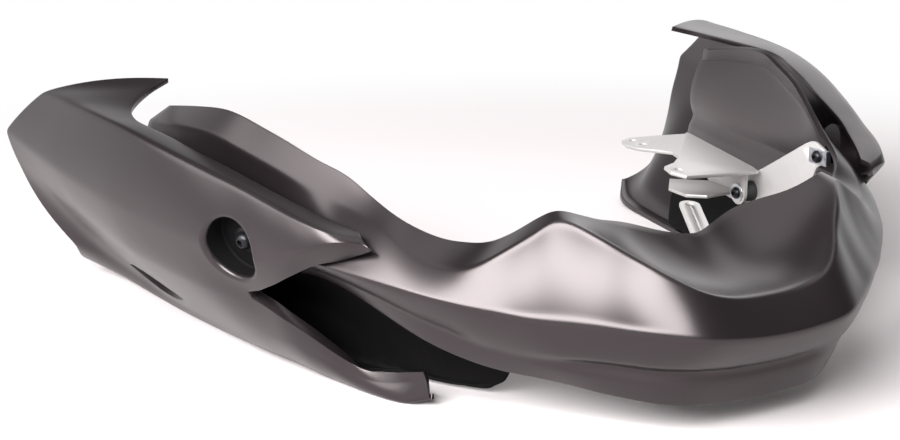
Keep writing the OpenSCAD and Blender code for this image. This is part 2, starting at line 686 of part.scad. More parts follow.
module engine_bracket() {
    hinge = scaled(engine_hinge_shares);
    web = [for (s = engine_web_shares) let (p = scaled([s.x, s.y, 0])) [p.x - hinge.x, p.y - hinge.y]];
    tab = [for (s = engine_tab_shares) let (p = scaled([s.x, s.y, 0])) [p.x, p.y]];
    hole = scaled([tab_hole_shares.x, tab_hole_shares.y, 0]);
    lug = scaled([lug_hole_shares.x, lug_hole_shares.y, 0]) - hinge;
    rise_angle = asin(-engine_rise / lug.x);
    tab_z = hinge.z + (tab[0].y - hinge.y) * engine_fall_share
        + (hinge.x - tab[0].x) * tan(rise_angle);
    ear_x = bracket_x - bush_l - sheet_t;
    color("#e9e9ec") difference() {
        union() {
            translate(hinge) rotate([atan(engine_fall_share), rise_angle, 0])
                linear_extrude(height = sheet_t) polygon(web);
            translate([0, 0, tab_z]) linear_extrude(height = sheet_t) polygon(tab);
            translate([ear_x, bush_p.y - ear_w / 2, bush_p.z])
                cube([sheet_t, ear_w, hinge.z + sheet_t - bush_p.z]);
            translate([ear_x, bush_p.y, bush_p.z]) rotate([0, 90, 0])
                cylinder(h = sheet_t, d = ear_w, $fn = hole_fn);
        }
        for (k = [-0.5, 0.5])
            translate([hole.x, hole.y + k * tab_hole_pitch, tab_z - overrun])
                cylinder(h = sheet_t + 2 * overrun, d = tab_hole_d, $fn = hole_fn);
        translate(hinge) rotate([atan(engine_fall_share), rise_angle, 0])
            translate([lug.x, lug.y, -overrun])
            cylinder(h = sheet_t + 2 * overrun, d = lug_hole_d, $fn = hole_fn);
        translate([ear_x - overrun, bush_p.y, bush_p.z]) rotate([0, 90, 0])
            cylinder(h = sheet_t + 2 * overrun, d = screw_d + screw_gap, $fn = hole_fn);
    }
}

// Front straps, screwed up to pads under the rear edge of the deck
strap_angle = 26;
strap_z = scaled([0, 0, strap_height_share]).z;
strap_seat = [for (s = [scaled([strap_seat_shares.x, strap_seat_shares.y, 0])]) each [s.x, s.y]];
strap_pad_t = 1;
strap_reach = 2;
strap_pad_cell = nose_span_cells * 19;

module at_strap_seat() {
    translate([strap_seat.x, strap_seat.y, strap_z]) rotate([strap_tilt, 0, 0]) children();
}

module front_strap() {
    at_strap_seat() rotate(-strap_angle) translate([0, 0, -sheet_t]) linear_extrude(height = sheet_t)
        difference() {
            hull() for (y = [0, strap_l]) translate([0, y]) circle(d = strap_w, $fn = hole_fn);
            circle(d = screw_d + screw_gap, $fn = hole_fn);
            translate([0, strap_l]) circle(d = strap_hole_d, $fn = hole_fn);
        }
}

module front_straps() {
    color("#d5d5d9") both_hands() front_strap();
}

module strap_pad() {
    under = [for (i = [strap_pad_cell, strap_pad_cell + 1]) for (s = [0.1, 0.6])
        mix(nose_inside[i][0], nose_inside[i][1], s)
            - normal_at(nose_inside, i, 0, -2, 0) * 2 * fit_gap];
    difference() {
        hull() {
            hull_of(under);
            at_strap_seat() translate([0, 0, fit_gap / 3])
                cylinder(h = strap_pad_t, d = strap_w, $fn = hole_fn / 2);
        }
        at_strap_seat() translate([0, 0, -overrun])
            cylinder(h = strap_reach + overrun, d = screw_d + screw_gap, $fn = hole_fn);
    }
}

module strap_pads() {
    color("#2a282a") both_hands() strap_pad();
}

module strap_screws() {
    color("#1c1c1f") both_hands() at_strap_seat() translate([0, 0, -sheet_t]) rotate([180, 0, 0])
        button_screw(screw_d, screw_head_d, screw_head_h, socket_w, sheet_t + strap_reach - fit_gap);
}

nose_moulding();
left_wing();
right_wing();
left_outlet_liner();
right_outlet_liner();
left_bonding_blocks();
right_bonding_blocks();
left_bolt_pad();
right_bolt_pad();
wing_bolts();
wing_bolt_washers();
left_bracket_pad();
right_bracket_pad();
left_side_bracket();
right_side_bracket();
bracket_screws();
clip_nuts();
rubber_bushes();
bush_sleeves();
bush_screws();
bush_washers();
bush_nuts();
engine_bracket();
strap_pads();
front_straps();
strap_screws();
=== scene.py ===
# Belly pan of a motorcycle on a pale studio floor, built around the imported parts
import json
import math
import bmesh
import bpy
import numpy as np
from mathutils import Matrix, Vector
from mathutils.bvhtree import BVHTree


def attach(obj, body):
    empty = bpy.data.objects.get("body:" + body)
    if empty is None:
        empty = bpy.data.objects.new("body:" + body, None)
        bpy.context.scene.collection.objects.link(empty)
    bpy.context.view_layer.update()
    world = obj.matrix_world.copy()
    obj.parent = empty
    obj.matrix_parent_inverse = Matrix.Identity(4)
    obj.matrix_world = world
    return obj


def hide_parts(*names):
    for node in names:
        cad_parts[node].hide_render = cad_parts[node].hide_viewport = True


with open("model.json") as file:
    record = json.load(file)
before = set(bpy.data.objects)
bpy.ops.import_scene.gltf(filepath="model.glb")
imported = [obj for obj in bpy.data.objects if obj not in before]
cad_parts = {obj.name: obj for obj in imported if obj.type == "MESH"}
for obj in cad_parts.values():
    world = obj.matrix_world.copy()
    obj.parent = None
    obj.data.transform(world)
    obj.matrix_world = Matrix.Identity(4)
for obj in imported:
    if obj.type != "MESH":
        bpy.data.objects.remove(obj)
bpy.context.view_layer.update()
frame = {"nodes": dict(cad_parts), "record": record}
nodes = frame["nodes"]
print("frame loaded")

mm = 0.001


def hexColour(code):
    # sRGB hex to the linear RGBA that Blender's sockets take
    channels = [int(code[i:i + 2], 16) / 255 for i in (1, 3, 5)]
    return [c / 12.92 if c <= 0.04045 else ((c + 0.055) / 1.055) ** 2.4 for c in channels] + [1]


def addNode(tree, kind, settings=(), values=(), links=()):
    # one node, with its settings, its typed values and the links that run into it
    node = tree.nodes.new(kind)
    for name, value in dict(settings).items():
        setattr(node, name, value)
    for name, value in dict(values).items():
        node.inputs[name].default_value = value
    for name, source in dict(links).items():
        tree.links.new(source, node.inputs[name])
    return node


def newMaterial(name):
    material = bpy.data.materials.new(name)
    material.use_nodes = True
    material.node_tree.nodes.clear()
    return material, material.node_tree


def finishMaterial(tree, shader):
    addNode(tree, "ShaderNodeOutputMaterial", links={"Surface": shader.outputs[0]})


def patternPlace(tree, sizeMm):
    # object coordinates in metres, scaled so that one unit of the pattern is sizeMm wide
    coords = addNode(tree, "ShaderNodeTexCoord")
    scale = 1 / (sizeMm * mm)
    return addNode(tree, "ShaderNodeMapping", values={"Scale": (scale,) * 3},
                   links={"Vector": coords.outputs["Object"]}).outputs["Vector"]


# Moulded ABS with a fine matte grain: charcoal with a warm cast, and wide soft highlights
absFinish = {
    "colour": "#161214",
    "sheen": "#fff3f4",  # the warm cast that its grain gives to what it mirrors
    "roughness": 0.32,
    "ior": 1.53,
    "grainMm": 1.1,  # the real grain is finer, this is the finest that shows
    "grainDetail": 2,
    "grainBump": 0.05,
    "grainHeightMm": 0.1,
}


def mouldedAbs():
    material, tree = newMaterial("moulded ABS")
    grain = addNode(tree, "ShaderNodeTexNoise",
                    values={"Scale": 1, "Detail": absFinish["grainDetail"]},
                    links={"Vector": patternPlace(tree, absFinish["grainMm"])})
    bump = addNode(tree, "ShaderNodeBump",
                   values={"Strength": absFinish["grainBump"],
                           "Distance": absFinish["grainHeightMm"] * mm},
                   links={"Height": grain.outputs[0]})
    shader = addNode(tree, "ShaderNodeBsdfPrincipled",
                     values={"Base Color": hexColour(absFinish["colour"]),
                             "Roughness": absFinish["roughness"],
                             "IOR": absFinish["ior"],
                             "Specular Tint": hexColour(absFinish["sheen"])},
                     links={"Normal": bump.outputs["Normal"]})
    finishMaterial(tree, shader)
    return material


def plainMaterial(name, colour, roughness, metallic=0.0, specular=0.5):
    material, tree = newMaterial(name)
    shader = addNode(tree, "ShaderNodeBsdfPrincipled",
                     values={"Base Color": hexColour(colour), "Roughness": roughness,
                             "Metallic": metallic, "Specular IOR Level": specular})
    finishMaterial(tree, shader)
    return material


materials = {
    "moulded_abs": mouldedAbs(),
    # black plastic for the outlet liners, dull and almost without light: darker than the
    # moulding's own black, as painted shade for the shadowed outlets. In the wells it is painted
    # shade only, on the wing's own moulding
    "black_plastic": plainMaterial("black plastic and painted shade", "#070607", 0.8, 0.0, 0.1),
    # rolled stainless sheet, pale and even, which mirrors the white room softly
    "bracket_steel": plainMaterial("rolled stainless sheet", "#b4b1b0", 0.5, 0.6),
    # zinc-plated steel, a little greyer and sharper than the sheet
    "zinc_steel": plainMaterial("zinc-plated steel", "#c4c6cb", 0.3, 1.0),
    # black oxide on turned steel, dark with small tight glints
    "black_steel": plainMaterial("black oxide steel", "#1a1a1d", 0.35, 0.6),
    # moulded rubber, dull and soft-edged
    "rubber": plainMaterial("moulded rubber", "#1d1c1e", 0.7),
}
print("materials made")

# How each piece is softened: how far its edges are rounded and which angles stay sharp
softening = {
    "weldMm": 0.01,
    "edgeMm": 0.25,
    "edgeSegments": 2,
    "sharpAngleDeg": 40,
    "linerSplits": 2,
    "linerPasses": 10,
    "linerShare": 0.5,
    "rimMm": 0.9,
    "rimAngleDeg": 55,
    "skinSharpDeg": 38,
}
liners = ["left_outlet_liner", "right_outlet_liner"]


def dressNode(name, slotName):
    piece = nodes[name]
    piece.data.materials.clear()
    piece.data.materials.append(materials[slotName])
    for polygon in piece.data.polygons:
        polygon.use_smooth = True
    weld = piece.modifiers.new("join faces", "WELD")
    weld.merge_threshold = softening["weldMm"] * mm
    if name in liners:
        split = piece.modifiers.new("finer faces", "SUBSURF")
        split.subdivision_type = "SIMPLE"
        split.levels = split.render_levels = softening["linerSplits"]
        relax = piece.modifiers.new("soft creases", "SMOOTH")
        relax.factor = softening["linerShare"]
        relax.iterations = softening["linerPasses"]
    else:
        edge = piece.modifiers.new("worn edges", "BEVEL")
        edge.width = softening["edgeMm"] * mm
        edge.segments = softening["edgeSegments"]
        edge.limit_method = "ANGLE"
        edge.angle_limit = math.radians(softening["sharpAngleDeg"])
        edge.harden_normals = True


for entry in frame["record"]["subparts"]:
    dressNode(entry["node"], entry["material_slot"])
print("pieces dressed")

# The mouldings' skins: rows of points in the table's own units, from the rear to the front, for
# the right-hand side. The imported solids are cut from the same rows with bigger cells.
tableUnit = {
    "across": 260 / 240 * mm,
    "along": 464 / 428.3 * mm,
    "up": 143 / 132 * mm,
    "middle": 78,
}
wing = {
    "rows": {
        "innerEdge": [
            (171, 207, 132), (186, 199, 128), (202, 182, 123.5), (208, 163, 121.5),
            (207, 144, 120.5), (202, 126, 118), (196, 104, 114), (189, 84, 110),
            (183, 64, 106), (177, 45, 102), (170, 29, 98), (163, 14, 94.5), (155.5, 0, 91)],
        "topCrease": [
            (230, 245, 124), (229, 226, 124.5), (228, 205, 124), (226, 180, 123.5),
            (222, 150, 122), (217, 124, 119), (210, 99, 115), (202, 76, 110.5),
            (195, 57, 106.5), (187, 36, 101), (180, 17, 96.5), (171, 2, 92.5),
            (157, -5, 89.5)],
        "sideCrease": [
            (240, 291, 93), (237.5, 262, 89), (235, 230, 85.5), (231, 195, 82),
            (226, 158, 79), (219, 124, 77), (211, 92, 74.5), (203, 66, 73), (193, 44, 71),
            (187, 26, 76), (180, 10, 82.5), (169.5, -3, 88), (156.5, -8, 87.5)],
        "outletTop": [
            (236.5, 292, 73), (233, 262, 68), (229.5, 230, 64), (224.5, 195, 61),
            (219, 158, 58), (212, 124, 55.5), (202, 93, 52), (187, 65, 48.5), (184, 45, 55.5),
            (181, 28, 64.5), (173, 14, 73), (163, 3, 77), (155, -11, 84)],
        "outletLow": [
            (234.5, 291.5, 67), (230.5, 262, 62), (227, 230, 58), (222, 195, 55),
            (216.5, 158, 52), (209.5, 124, 49.5), (199, 93, 46), (184, 64.5, 43),
            (176, 50, 37), (167, 40, 30), (152, 26, 17.5), (142, 13, 13), (127, -12, 18)],
        "lowCrease": [
            (206, 275, 22), (187, 256, 14), (180, 229, 9), (178, 193, 7), (176, 157, 7.5),
            (174, 123, 9.5), (173, 91, 13), (172, 66, 18.5), (169, 52, 20), (162, 41, 17),
            (150.5, 25, 11), (140.5, 7, 8.5), (126, -13.5, 14)],
        "groundEdge": [
            (195, 291, 8.5), (183, 266, 2.5), (178, 230, 0.6), (174, 193, 0), (169, 156, 0),
            (163, 122, 0), (157, 90, 0), (153, 70, 0), (151, 52, 0), (147, 34, 0),
            (142.5, 14, 0), (135, -5, 0.6), (125, -15, 4)]},
    "bulges": [0.02, 0.03, 0.02, 0, 0.01, 0.05, 0],
    "tailBulges": {0: 0.045, 4: 0.05},  # by band, at the rear end
    "tailPower": 2,
    "flatStations": (2, 4),  # behind these the outlet's rows sink into the lower face
    "flatShare": 0.45,
    "lipWidthMm": 9,
    "lipShares": [0.5, 1, 1, 1, 1, 1, 1, 1, 1, 1, 0.9, 0.6, 0.35],
    "outletBand": 3,
    "outletStation": 7,
    "wallMm": 3,
    "outletFoldMm": 7,
    "foldCells": 8,
    "foldEndStations": 2,
    "spanCells": 14,
    "bandCells": [12, 28, 14, 1, 28, 10, 4],
    "creasePasses": 4,
    "flowPasses": 6,
}
nose = {
    "rows": {
        "innerEdge": [
            (180, 183, 122), (179, 149, 128), (174, 115, 132), (168, 92, 128), (162, 69, 123),
            (155, 50, 117), (147, 32, 112), (141, 14, 103.5), (134.5, -5, 95.5),
            (122, -18, 88.5), (112, -28, 87), (103, -36, 88), (95, -45, 94), (86, -53, 102),
            (79, -59, 106), (67, -61, 102.5), (56, -59, 98.5), (44, -54, 95), (31, -50, 91),
            (15, -54, 86), (0, -60, 84)],
        "ridge": [
            (188, 195, 112), (187.5, 155, 117), (183, 121, 119), (176, 95, 114.5),
            (168, 68, 109), (161, 49, 104), (154, 30, 99), (148, 12, 95), (143, -6, 90),
            (136, -24, 81), (127, -38, 78.5), (119, -48, 81), (108, -56, 88.5),
            (95, -62, 96.5), (83, -67, 103.5), (72, -83, 98.5), (60, -96, 90.5),
            (50, -108, 84), (36, -119.5, 76), (18, -121, 71), (0, -121, 70)],
        "lowCrease": [
            (203, 222, 70), (194, 186, 71), (187, 142, 72), (181, 100, 72.5), (177, 68, 72.5),
            (174, 40, 72.5), (169.5, 16, 72.5), (162, -3, 71), (154, -17, 69), (145, -31, 67),
            (136, -44, 65), (126, -56, 63), (116, -67, 62), (106, -78, 61), (95, -88, 61),
            (83, -100, 60.5), (70, -111.5, 59), (57, -122.5, 57.5), (41, -133.5, 56),
            (20, -136, 54), (0, -136, 53)],
        "groove": [
            (205, 229, 60), (195, 192, 61), (187.5, 146, 62), (180.5, 105, 63),
            (175.5, 74, 65), (172, 48, 66), (167, 25, 67), (159, 7, 64), (148, -9.5, 58),
            (137.5, -22, 51.5), (126, -34.5, 46), (116, -46.5, 41), (106.5, -57.5, 38.5),
            (97.5, -69, 37), (89, -80, 36.5), (78, -90, 36), (66, -99.5, 35),
            (55, -108.5, 34), (39, -116.5, 33.5), (19, -118, 32), (0, -118, 31.5)],
        "groundEdge": [
            (207, 236, 48), (196, 197, 50), (187, 150, 52), (179.5, 110, 54), (173, 80, 57),
            (169, 54, 59.5), (163, 32, 61.5), (155, 13, 57.5), (145.5, -2, 49.5),
            (136.5, -14, 42), (127, -26, 35.5), (114, -40, 29.5), (103, -52, 26.5),
            (92, -64, 25), (81, -75, 23), (71, -84.5, 20.5), (60.5, -94, 18.5),
            (50, -103, 17), (36, -110, 15.5), (18, -112, 14.5), (0, -112.5, 14)]},
    "deckHollow": 0.11,
    "deckStations": (14, 17),  # the deck's hollow grows from none to full between these
    "flankStations": (5, 6.5, 10.5, 12.5, 16, 17.5),
    "flankHollows": (0.09, -0.03, -0.03, 0.05, 0.05, -0.03),  # less where a pad sits behind
    "lowBulges": [0.05, 0.02],
    "stepStations": (12.5, 15),  # the groove's step grows between these, on to the front
    "stepDepthMm": 3.5,
    "stepWidthMm": 3.0,
    "wallMm": 3,
    "spanCells": 6,
    "bandCells": [18, 24, 18, 14],
    "creasePasses": 3,
    "flowPasses": 4,
}


def placeRow(row):
    table = np.array(row, float)
    return np.stack([table[:, 0] * tableUnit["across"],
                     (table[:, 1] - tableUnit["middle"]) * tableUnit["along"],
                     table[:, 2] * tableUnit["up"]], 1)


def curveThrough(points, cells):
    # a smooth curve through the points, with the same number of cells between each two
    ends = np.vstack([2 * points[0] - points[1], points, 2 * points[-1] - points[-2]])
    result = []
    for i in range(len(points) - 1):
        a, b, c, d = ends[i:i + 4]
        for s in np.arange(cells) / cells:
            result.append(b + (c - a) * s / 2 + (2 * a - 5 * b + 4 * c - d) * s * s / 2
                          + (3 * b - a - 3 * c + d) * s ** 3 / 2)
    return np.array(result + [points[-1]])


def unitVectors(v):
    shortest = 1e-12
    return v / np.maximum(np.linalg.norm(v, axis=-1, keepdims=True), shortest)


def alongRow(row):
    # from each point's neighbour behind to its neighbour ahead
    n = len(row)
    return row[np.minimum(np.arange(n) + 1, n - 1)] - row[np.maximum(np.arange(n) - 1, 0)]


def skinGrid(rows, cells, bulges):
    # columns of points from the first row to the last; a bulge is one share or one per station
    columns = []
    for r, count in enumerate(cells):
        a, b = rows[r], rows[r + 1]
        chord = b - a
        width = np.linalg.norm(chord, axis=1, keepdims=True)
        bulge = np.broadcast_to(bulges[r], len(a))[:, None]
        for s in np.arange(count) / count:
            run = alongRow(a) * (1 - s) + alongRow(b) * s
            outward = unitVectors(np.cross(run, chord))
            columns.append(a + chord * s + outward * width * bulge * 4 * s * (1 - s))
    grid = np.stack(columns + [rows[-1]], 1)
    grid[..., 2] = np.maximum(grid[..., 2], 0)
    return grid


def relaxStrip(strip, axis, passes):
    # evens out the strip along one axis and leaves its two ends where they are
    strip = np.moveaxis(strip, axis, 0).copy()
    for _ in range(passes):
        strip[1:-1] = strip[1:-1] / 2 + (strip[:-2] + strip[2:]) / 4
    return np.moveaxis(strip, 0, axis)


def softenGrid(grid, spec, gap=None, start=0):
    # rounds the creases across the strip, then lets the surface flow along it
    if gap is None:
        blocks = [grid]
    else:
        blocks = [grid[:start + 1], grid[start + 1:, :gap + 1], grid[start + 1:, gap + 1:]]
    for block in blocks:
        block[:] = relaxStrip(block, 1, spec["creasePasses"])
    return relaxStrip(grid, 0, spec["flowPasses"])


def gridNormals(grid, gap, start):
    # from the start row on, nothing reaches across the gap's column
    ni, nj = grid.shape[:2]
    ahead = np.tile(np.minimum(np.arange(nj) + 1, nj - 1), (ni, 1))
    behind = np.tile(np.maximum(np.arange(nj) - 1, 0), (ni, 1))
    if gap is not None:
        ahead[start:, gap] = gap
        behind[start:, gap + 1] = gap + 1
    rows = np.arange(ni)[:, None]
    across = grid[rows, ahead] - grid[rows, behind]
    return unitVectors(np.cross(alongRow(grid), across))


def wingWalls(grid, gap, start):
    # the wall thickens towards the folded edges of the outlet, and less so at its front end
    ni, nj = grid.shape[:2]
    i, j = np.meshgrid(np.arange(ni), np.arange(nj), indexing="ij")
    toEdge = np.where(j <= gap, gap - j, j - gap - 1)
    toFront = (ni - 1 - i) / (wing["foldEndStations"] * wing["spanCells"])
    share = np.clip(1 - toEdge / wing["foldCells"], 0, 1) * np.clip(toFront, 0, 1)
    share *= np.clip((i - start) / wing["foldCells"] + 1, 0, 1)
    thickening = wing["outletFoldMm"] - wing["wallMm"]
    return (wing["wallMm"] + thickening * share)[..., None]


def shellMesh(name, grid, wallMm, gap=None, start=0):
    # a closed wall behind the grid, left open along the gap's column from the start row on
    ni, nj = grid.shape[:2]
    inner = grid - gridNormals(grid, gap, start) * wallMm * mm
    points = np.concatenate([grid.reshape(-1, 3), inner.reshape(-1, 3)])
    n = ni * nj
    isOpen = np.zeros((ni + 1, nj + 1), bool)
    isOpen[-1, :] = isOpen[:, -1] = True
    isOpen[ni - 1, :] = isOpen[:, nj - 1] = True
    if gap is not None:
        isOpen[start:, gap] = True
    faces = []
    for i in range(ni - 1):
        for j in range(nj - 1):
            if isOpen[i, j]:
                continue
            a, b = i * nj + j, (i + 1) * nj + j
            c, d = b + 1, a + 1
            faces += [(a, d, c, b), (a + n, b + n, c + n, d + n)]
            if j == 0 or isOpen[i, j - 1]:
                faces.append((a, b, b + n, a + n))
            if isOpen[i + 1, j]:
                faces.append((b, c, c + n, b + n))
            if isOpen[i, j + 1]:
                faces.append((c, d, d + n, c + n))
            if i == 0:
                faces.append((d, a, a + n, d + n))
    mesh = bpy.data.meshes.new(name)
    mesh.from_pydata(points.tolist(), [], faces)
    used = bmesh.new()
    used.from_mesh(mesh)
    bmesh.ops.delete(used, geom=[v for v in used.verts if not v.link_faces], context="VERTS")
    used.to_mesh(mesh)
    used.free()
    return mesh


def addObject(name, data):
    made = bpy.data.objects.new(name, data)
    bpy.context.scene.collection.objects.link(made)
    return made


def addPiece(name, mesh, slotName, *replaced):
    piece = addObject(name, mesh)
    mesh.materials.append(materials[slotName])
    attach(piece, "root")
    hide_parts(*replaced)


def wingGrid():
    placed = [placeRow(row) for row in wing["rows"].values()]
    lip = placed[-1].copy()
    lip[:, 0] -= np.array(wing["lipShares"]) * wing["lipWidthMm"] * mm
    rows = [curveThrough(row, wing["spanCells"]) for row in placed + [lip]]
    station = np.arange(len(rows[0])) / wing["spanCells"]
    full, start = wing["flatStations"]
    sink = wing["flatShare"] * np.clip((start - station) / (start - full), 0, 1)[:, None]
    names = list(wing["rows"])
    high, low = rows[names.index("sideCrease")], rows[names.index("lowCrease")]
    for row in (names.index("outletTop"), names.index("outletLow")):
        share = np.sum((rows[row] - high) * (low - high), 1) / np.sum((low - high) ** 2, 1)
        rows[row] = rows[row] * (1 - sink) + (high + (low - high) * share[:, None]) * sink
    tail = np.maximum(0, 1 - station) ** wing["tailPower"]
    bulges = list(wing["bulges"])
    for band, bulge in wing["tailBulges"].items():
        bulges[band] = bulges[band] * (1 - tail) + bulge * tail
    return skinGrid(rows, wing["bandCells"], bulges)


def noseGrid():
    rows = []
    for row in nose["rows"].values():
        right = placeRow(row)
        whole = np.vstack([right, right[-2::-1] * (-1, 1, 1)])
        rows.append(curveThrough(whole, nose["spanCells"]))
    station = np.arange(len(rows[0])) / nose["spanCells"]
    fromLeg = np.minimum(station, station[-1] - station)
    start, full = nose["deckStations"]
    deck = -nose["deckHollow"] * np.clip((fromLeg - start) / (full - start), 0, 1)
    flank = -np.interp(fromLeg, nose["flankStations"], nose["flankHollows"])
    grid = skinGrid(rows, nose["bandCells"], [deck, flank] + nose["lowBulges"])
    # the step is a narrow valley, with its floor on the groove's row
    column = sum(nose["bandCells"][:list(nose["rows"]).index("groove")])
    width = nose["stepWidthMm"] * mm
    away = np.linalg.norm(grid - grid[:, column:column + 1], axis=2) / width
    start, full = nose["stepStations"]
    depth = nose["stepDepthMm"] * mm * np.clip((fromLeg - start) / (full - start), 0, 1)
    return grid - gridNormals(grid, None, 0) * (depth[:, None] * np.exp(-away ** 2))[..., None]


def evaluatedMesh(piece):
    # the piece's mesh with its modifiers worked in, in place of the piece
    graph = bpy.context.evaluated_depsgraph_get()
    mesh = bpy.data.meshes.new_from_object(piece.evaluated_get(graph))
    bpy.data.objects.remove(piece)
    return mesh


def roundedRim(mesh):
    piece = addObject("raw shell", mesh)
    edge = piece.modifiers.new("rim", "BEVEL")
    edge.width = softening["rimMm"] * mm
    edge.segments = softening["edgeSegments"]
    edge.limit_method = "ANGLE"
    edge.angle_limit = math.radians(softening["rimAngleDeg"])
    return evaluatedMesh(piece)


def cutMesh(mesh, cutters):
    piece = addObject("raw shell", mesh)
    tools = []
    for cutter in cutters:
        tool = addObject("cutter", cutter)
        tools.append(tool)
        step = piece.modifiers.new("cut", "BOOLEAN")
        step.operation = "DIFFERENCE"
        step.solver = "EXACT"
        step.object = tool
    result = evaluatedMesh(piece)
    for tool in tools:
        bpy.data.objects.remove(tool)
    return result


def prismMesh(outline, centre, xAxis, yAxis, halfHeight):
    # a prism over an outline drawn in the plane of the two axes
    zAxis = np.cross(xAxis, yAxis)
    ring = np.array([centre + xAxis * x + yAxis * y for x, y in outline])
    points = np.concatenate([ring - zAxis * halfHeight, ring + zAxis * halfHeight])
    n = len(ring)
    faces = [tuple(range(n - 1, -1, -1)), tuple(range(n, 2 * n))]
    faces += [(i, (i + 1) % n, n + (i + 1) % n, n + i) for i in range(n)]
    mesh = bpy.data.meshes.new("cutter")
    mesh.from_pydata(points.tolist(), [], faces)
    return mesh


well = {
    "station": 7.2,
    "drop": 0.06,  # share of the way from the side crease down to the outlet
    "axis": (0.901313, -0.322748, -0.288909),
    "radiusMm": 18,
    "depthMm": 16,
    "wallMm": 2.5,
    "rollMm": 3.5,
    "boreRadiusMm": 3.25,
    "footMm": 1,  # the slope between its wall and its floor
    "sides": 96,
    "rollSteps": 6,
    # the well's wall, floor and bore bands, darkened as painted shade
    "shadedBands": 4,  # of its profile, below the roll
    "sinkMm": 0.01,
    "probeMm": 30,
    "cutInsetMm": 0.3,
    "cutMm": 12,
}
slit = {
    "station": 3.1,
    "runStations": 1 / 3,  # its direction is taken this far to either side
    "rise": 0.27,  # share of the way from the low crease up to the outlet
    "lengthMm": 80,
    "widthMm": 22,
    "steps": 24,
    "cutMm": 15,
}
rowCells = 60


def rowPoint(name, station):
    return curveThrough(placeRow(wing["rows"][name]), rowCells)[round(station * rowCells)]


def wellFrame():
    axis = unitVectors(np.array(well["axis"]))
    side = unitVectors(np.cross((0, 0, 1), axis))
    crease, outlet = [rowPoint(name, well["station"]) for name in ("sideCrease", "outletTop")]
    return crease + (outlet - crease) * well["drop"], axis, side, np.cross(axis, side)


def roundAngles():
    return np.arange(well["sides"]) * 2 * math.pi / well["sides"]


def wellCup(grid):
    # a cup with a rim that rolls over into the skin of the wing
    centre, axis, side, up = wellFrame()
    ni, nj = grid.shape[:2]
    faces = [(i * nj + j, i * nj + j + 1, (i + 1) * nj + j + 1, (i + 1) * nj + j)
             for i in range(ni - 1) for j in range(nj - 1)]
    skin = BVHTree.FromPolygons([Vector(p) for p in grid.reshape(-1, 3)], faces)
    radius, roll = well["radiusMm"] * mm, well["rollMm"] * mm
    bore, foot, sunk = well["boreRadiusMm"] * mm, well["footMm"] * mm, well["sinkMm"] * mm
    wall = radius + well["wallMm"] * mm
    floor = -well["depthMm"] * mm
    under = floor - well["wallMm"] * mm

    def heightAt(out, r):
        start = centre + out * r + axis * well["probeMm"] * mm
        hit = skin.ray_cast(Vector(start), Vector(-axis))
        return (np.array(hit[0]) - centre) @ axis if hit[0] is not None else 0.0

    rings = []
    for angle in roundAngles():
        out = side * math.cos(angle) + up * math.sin(angle)
        profile = []
        for step in range(well["rollSteps"] + 1):
            turn = math.pi / 2 * step / well["rollSteps"]
            r = radius + roll * (1 - math.sin(turn))
            profile.append((r, heightAt(out, r) - roll * (1 - math.cos(turn)) - sunk))
        outer = profile[0][1] - wing["wallMm"] * mm
        profile += [(radius, floor + foot), (radius - foot, floor), (bore, floor),
                    (bore, under), (wall, under), (wall, outer), (radius + roll, outer)]
        rings.append([centre + out * r + axis * h for r, h in profile])
    rings = np.array(rings)
    n, m = rings.shape[:2]
    quads = []
    for i in range(n):
        here, after = i * m, (i + 1) % n * m
        quads += [(here + j, here + (j + 1) % m, after + (j + 1) % m, after + j)
                  for j in range(m)]
    return rings.reshape(-1, 3), quads


def wellCutter():
    centre, axis, side, up = wellFrame()
    r = (well["radiusMm"] + well["rollMm"] - well["cutInsetMm"]) * mm
    outline = [(r * math.cos(a), r * math.sin(a)) for a in roundAngles()]
    return prismMesh(outline, centre, side, up, well["cutMm"] * mm)


def slitCutter():
    # a leaf between two bows, drawn along the wing's low crease
    station, run = slit["station"], slit["runStations"]
    low, high = rowPoint("lowCrease", station), rowPoint("outletLow", station)
    xAxis = unitVectors(rowPoint("lowCrease", station + run)
                        - rowPoint("lowCrease", station - run))
    zAxis = unitVectors(np.cross(xAxis, low - high))
    yAxis = np.cross(zAxis, xAxis)
    half, width = slit["lengthMm"] / 2, slit["widthMm"]
    radius = (4 * half * half + width * width) / (4 * width)
    reach = math.asin(half / radius)
    bow = [(radius * math.sin(t), radius * math.cos(t) - radius + width / 2)
           for t in np.linspace(-reach, reach, slit["steps"])]
    outline = [(x * mm, y * mm) for x, y in bow + [(x, -y) for x, y in bow[-2:0:-1]]]
    middle = low + (high - low) * slit["rise"]
    return prismMesh(outline[::-1], middle, xAxis, yAxis, slit["cutMm"] * mm)


def mirroredMesh(mesh, name):
    copy = mesh.copy()
    copy.name = name
    points = np.zeros(len(copy.vertices) * 3)
    copy.vertices.foreach_get("co", points)
    points = points.reshape(-1, 3) * (-1, 1, 1)
    copy.vertices.foreach_set("co", points.ravel())
    copy.flip_normals()
    return copy


def smoothFaces(mesh):
    for polygon in mesh.polygons:
        polygon.use_smooth = True
    mesh.set_sharp_from_angle(angle=math.radians(softening["skinSharpDeg"]))


